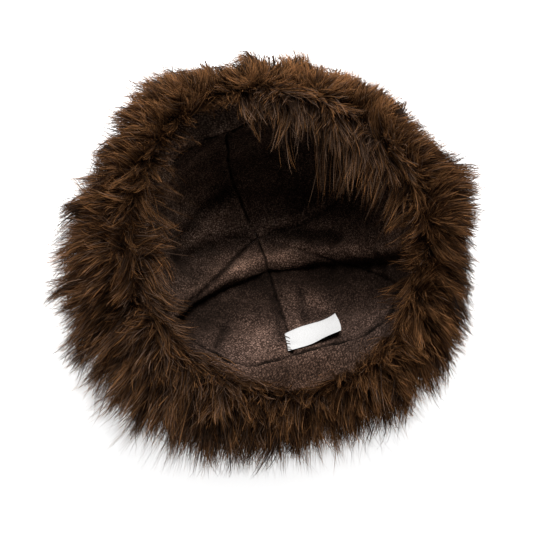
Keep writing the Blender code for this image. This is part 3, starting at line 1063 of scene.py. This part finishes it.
def strand_points():
    """Centre lines, side vectors, shades, azimuths and rows of all strands."""
    (lock_azimuth, lock_row), (small_azimuth, small_row), (azimuth, row) = (
        spread_tips(count) for count in (LOCKS, SMALL_LOCKS, STRANDS)
    )
    tip = tip_point(azimuth, row)
    normal = outward_normal(tip_point, azimuth, row)
    inner = np.clip((INNER_ROW - row) / INNER_FADE, 0, 1)
    small_tip = tip_point(small_azimuth, small_row)
    small_lock = nearest(tip, small_tip)
    shift, lock_end, lock_bend, lock_lift, shade = (
        values[small_lock] for values in small_locks(lock_azimuth, lock_row, small_tip)
    )
    root_azimuth, root_row = root_places(azimuth, row, tip, inner)
    root = root_point(root_azimuth, root_row)
    root_normal = outward_normal(root_point, root_azimuth, root_row)

    end = tip + shift
    end += (lock_end - end) * RNG.uniform(*END_GATHER, STRANDS)[:, None]
    stray = np.where(RNG.uniform(size=STRANDS) < STRAY_SHARE, *STRAYS)
    end += RNG.normal(size=end.shape) * stray[:, None]
    chord = end - root
    length = norm(chord)[:, None]
    least, most = (smooth_table(LIFT_ROWS, row, column) for column in (1, 2))
    lift = np.clip(lock_lift + RNG.normal(0, LIFT_JITTER, STRANDS), *LIFT_LIMITS)
    stand = least + (most - least) * lift + NEAR_LIFT * (1 - far_share(azimuth)) * (1 - inner)
    tip_way = unit(unit(chord) + normal * stand[:, None])
    rise = np.minimum(length, RISE_LIMIT) * RNG.uniform(*RISE_SHARES, (STRANDS, 1))
    rise = root + root_normal * rise + unit(chord) * length * RISE_ALONG
    fall = end - tip_way * length * FALL_SHARE

    reach, guard = strand_reach()
    phase = RNG.uniform(0, 2 * math.pi, (STRANDS, 1))
    curl_way = unit(RNG.normal(size=(STRANDS, 3)))
    bend = lock_bend * np.clip(length / FULL_BEND_LENGTH, *BEND_LIMITS)
    bend *= 1 - FAR_BEND_LOSS * far_share(azimuth)[:, None]
    curl = CURL * RNG.uniform(0.1, 1.0, (STRANDS, 1)) ** 2
    points = np.empty((STRANDS, len(RIBBON_SHARES), 3))
    for index, share in enumerate(RIBBON_SHARES):
        t = (share * reach)[:, None]
        s = 1 - t
        centre = s**3 * root + 3 * s * s * t * rise + 3 * s * t * t * fall + t**3 * end
        centre += bend * (4 * t * np.maximum(s, -0.1))
        centre += curl_way * curl * np.sin(phase + CURL_TURN * share) * share
        points[:, index] = centre
    floor = STRAND_FLOOR[0] + STRAND_FLOOR[1] * RNG.uniform(size=(STRANDS, 1))
    points[..., 2] = np.maximum(points[..., 2], floor)
    points = inside_box(points)

    ways = unit(np.gradient(points, axis=1))
    behind = np.clip(np.sin(azimuth), 0, 1) * (1 - inner)
    broad = unit(normal + behind[:, None] * (0, 0, BROAD_UP))[:, None]
    facing = broad - ways * (ways * broad).sum(axis=-1, keepdims=True)
    facing = unit(unit(facing) + FACING_JITTER * RNG.normal(size=(STRANDS, 1, 3)))
    sides = unit(np.cross(ways, facing))
    shade += STRAND_SHADE * RNG.normal(size=STRANDS) + GUARD_SHADE * guard
    # Painted light: lighter on the far side where the key light falls, darker round the other
    # sides
    shade += by_side(PAINTED_LIGHT_ROWS, azimuth, inner)
    grey = RNG.uniform(size=STRANDS) < by_side(GREY_ROWS, azimuth, inner)
    shade = np.clip(shade, *SHADE_LIMITS) / 2 + grey / 2
    return points, sides, shade, azimuth, row


def fur_strands(material):
    """The strands as tapered ribbons, in pieces round the side and one for the crown."""
    points, sides, shade, azimuth, row = strand_points()
    thinnest, widest = STRAND_WIDTH
    width = thinnest + (widest - thinnest) * RNG.uniform(size=STRANDS) ** FINE_POWER
    aside = sides[:, :-1] * width[:, None, None] / 2 * np.array(RIBBON_TAPER)[:, None]
    pairs = np.stack((points[:, :-1] + aside, points[:, :-1] - aside), axis=2)
    ribbons = np.concatenate((pairs.reshape(STRANDS, -1, 3), points[:, -1:]), axis=1)
    along = np.append(np.repeat(RIBBON_SHARES[:-1], 2), LAST_SHADE)
    uv = np.stack(np.broadcast_arrays(along, shade[:, None]), axis=-1)
    sector = np.floor(np.mod(azimuth, 2 * math.pi) / (2 * math.pi) * SIDE_SECTORS).astype(int)
    sector[row > CROWN_ROW] = SIDE_SECTORS
    for number in range(SIDE_SECTORS + 1):
        on_crown = number == SIDE_SECTORS
        chosen = np.flatnonzero(sector == number)
        count = np.arange(len(chosen))[:, None]
        piece = make_mesh(
            "fur_crown_strands" if on_crown else f"fur_side_strands_{number + 1}",
            ribbons[chosen],
            np.array(RIBBON_CORNERS) + ribbons.shape[1] * count,
            material,
            ("OFBake", uv[chosen].reshape(-1, 2)),
            (np.array(RIBBON_STARTS) + len(RIBBON_CORNERS) * count).reshape(-1),
        )
        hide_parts("fur_crown" if on_crown else "fur_side_band")


def underfur(name, first_row, last_row, node, material):
    """The dense fur that the strands grow through, between the root form and the outer form."""
    turns = np.arange(UNDERFUR_TURNS) / UNDERFUR_TURNS * 2 * math.pi
    rows = np.linspace(first_row, last_row, round((last_row - first_row) * UNDERFUR_ROWS) + 1)
    azimuth, row = (grid.reshape(-1) for grid in np.meshgrid(turns, rows))
    root = root_point(azimuth, root_row_of(azimuth, row))
    outer = root + (tip_point(azimuth, row) - root) * UNDERFUR_SHARE
    normal = outward_normal(tip_point, azimuth, row)
    outer += waves(outer, UNDERFUR_WAVE)[:, None] * normal
    outer[:, 2] = np.maximum(outer[:, 2], UNDERFUR_FLOOR)
    outer = outer.reshape(len(rows), -1, 3)
    inner = root.reshape(len(rows), -1, 3)
    loop = np.concatenate((outer, inner[::-1], outer[:1]))
    piece = make_mesh(name, loop, grid_faces(*loop.shape[:2], closed=True), material)
    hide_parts(node)


def make_camera():
    """The photo's view, with the same lean and framing."""
    lean_x, lean_y = (math.tan(math.radians(lean)) for lean in (LEAN_X, LEAN_Y))
    back = Vector((-lean_x, -lean_y, 1)).normalized()
    right = Vector((0, 1, 0)).cross(back).normalized()
    up = back.cross(right)
    data = bpy.data.cameras.new("camera")
    data.sensor_width = SENSOR_WIDTH
    data.lens = SENSOR_WIDTH * DISTANCE / FRAME_WIDTH
    data.shift_x, data.shift_y = TARGET_SHIFT
    camera = new_object("camera", data)
    turn = Matrix((right, up, back)).transposed()
    camera.matrix_world = Matrix.Translation(Vector(TARGET) + back * DISTANCE) @ turn.to_4x4()
    bpy.context.scene.camera = camera


def make_light():
    """The key light, a soft square that shines at the hat."""
    data = bpy.data.lights.new("key", "AREA")
    data.shape = "SQUARE"
    data.size = KEY_SIZE
    data.energy = KEY_POWER
    light = new_object("key", data)
    light.location = KEY_PLACE
    light.rotation_euler = (Vector(KEY_PLACE) - Vector(KEY_AIM)).to_track_quat("Z", "Y").to_euler()


def make_studio():
    """A white floor that shows only the hat's shadow, and a dim white world."""
    nodes = Nodes("floor_white", Roughness=0.9, Specular_IOR_Level=0.0)
    nodes.feed(Base_Color=(FLOOR_ALBEDO,) * 3 + (1,), Emission_Color=(1, 1, 1, 1))
    seen = nodes.add("ShaderNodeLightPath").outputs["Is Camera Ray"]
    open_sky = nodes.add("ShaderNodeAmbientOcclusion", {"Distance": SHADOW_REACH}, samples=8)
    glow = {"Value": open_sky.outputs["AO"], "To Min": FLOOR_GLOW[0], "To Max": FLOOR_GLOW[1]}
    glow = nodes.add("ShaderNodeMapRange", glow).outputs[0]
    glow = nodes.add("ShaderNodeMix", {0: seen, 2: FLOOR_SPILL, 3: glow}, data_type="FLOAT")
    nodes.feed(Emission_Strength=glow.outputs[0])
    mesh = bpy.data.meshes.new("floor")
    low, high = -FLOOR_HALF, FLOOR_HALF
    corners = [(low, low, 0), (high, low, 0), (high, high, 0), (low, high, 0)]
    mesh.from_pydata(corners, [], [(0, 1, 2, 3)])
    mesh.materials.append(nodes.material)
    floor = new_object("floor", mesh)
    world = bpy.data.worlds.new("studio")
    world.use_nodes = True
    background = world.node_tree.nodes["Background"]
    background.inputs["Color"].default_value = (1, 1, 1, 1)
    background.inputs["Strength"].default_value = WORLD_STRENGTH
    scene = bpy.context.scene
    scene.world = world
    scene.view_settings.view_transform = "Standard"
    scene.view_settings.exposure = 0.0


def main():
    """Make everything: camera, studio, light, lining, label and fur."""
    make_camera()
    make_studio()
    make_light()
    lining = lining_material()
    for number in range(len(SEAM_ROWS)):
        lining_gore(number, lining)
    lining_band(lining)
    care_label()
    # Underfur coloured near black: painted shade deep in the fur between the strands
    dark = grained_material(
        "fur_underfur_shade", (420.0, 4.0), (0.3, (0.003, 0.0015, 0.0007)), (0.7, (0.012, 0.006, 0.003)),
        bump=(0.8, 0.002), Roughness=1.0, Specular_IOR_Level=0.0,
    )
    underfur("fur_side_underfur", 0.0, CROWN_ROW, "fur_side_band", dark)
    underfur("fur_crown_underfur", CROWN_ROW, TIP_ROWS[-1][0], "fur_crown", dark)
    fur_strands(fur_material())


main()
